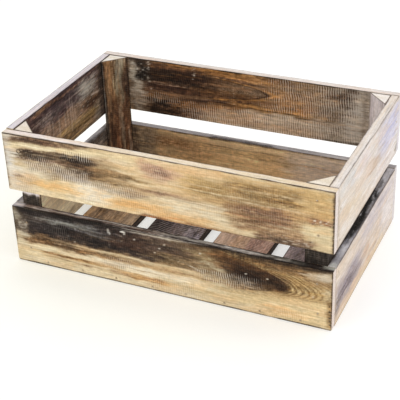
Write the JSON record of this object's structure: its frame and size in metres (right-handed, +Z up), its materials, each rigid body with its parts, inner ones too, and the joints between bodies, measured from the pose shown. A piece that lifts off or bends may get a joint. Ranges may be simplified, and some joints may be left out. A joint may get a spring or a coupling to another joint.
{
  "type": "wooden crate",
  "caption": "Open-topped slatted wooden crate with triangular corner posts, hand gaps in every side and a slatted base.",
  "frame": {"origin": "centre of the crate's footprint, on the surface that it stands on", "axes": "+X along the crate's length, +Y towards the back, +Z up out of the open top"},
  "size_m": [0.4, 0.255, 0.175],
  "materials": {
    "flamed_wood": "rough sawn, burnt and whitewashed",
    "pale_wood": "rough sawn, thinly whitewashed",
    "dark_wood": "rough sawn, burnt dark",
    "post_wood": "smooth sawn, whitewashed",
    "nail_steel": "dull"
  },
  "bodies": {
    "root": {"slat_front_lower": "flamed_wood", "slat_front_upper": "flamed_wood", "slat_back_lower": "flamed_wood", "slat_back_upper": "dark_wood", "slat_left_lower": "flamed_wood", "slat_left_upper": "dark_wood", "slat_right_lower": "pale_wood", "slat_right_upper": "pale_wood", "post_front_left": "post_wood", "post_front_right": "post_wood", "post_back_left": "post_wood", "post_back_right": "post_wood", "base_slat_1": "dark_wood", "base_slat_2": "dark_wood", "base_slat_3": "pale_wood", "base_slat_4": "dark_wood", "nails_front_lower": "nail_steel", "nails_front_upper": "nail_steel", "nails_back_lower": "nail_steel", "nails_back_upper": "nail_steel", "nails_left_lower": "nail_steel", "nails_left_upper": "nail_steel", "nails_right_lower": "nail_steel", "nails_right_upper": "nail_steel", "nails_base_front": "nail_steel", "nails_base_back": "nail_steel"}
  },
  "joints": []
}
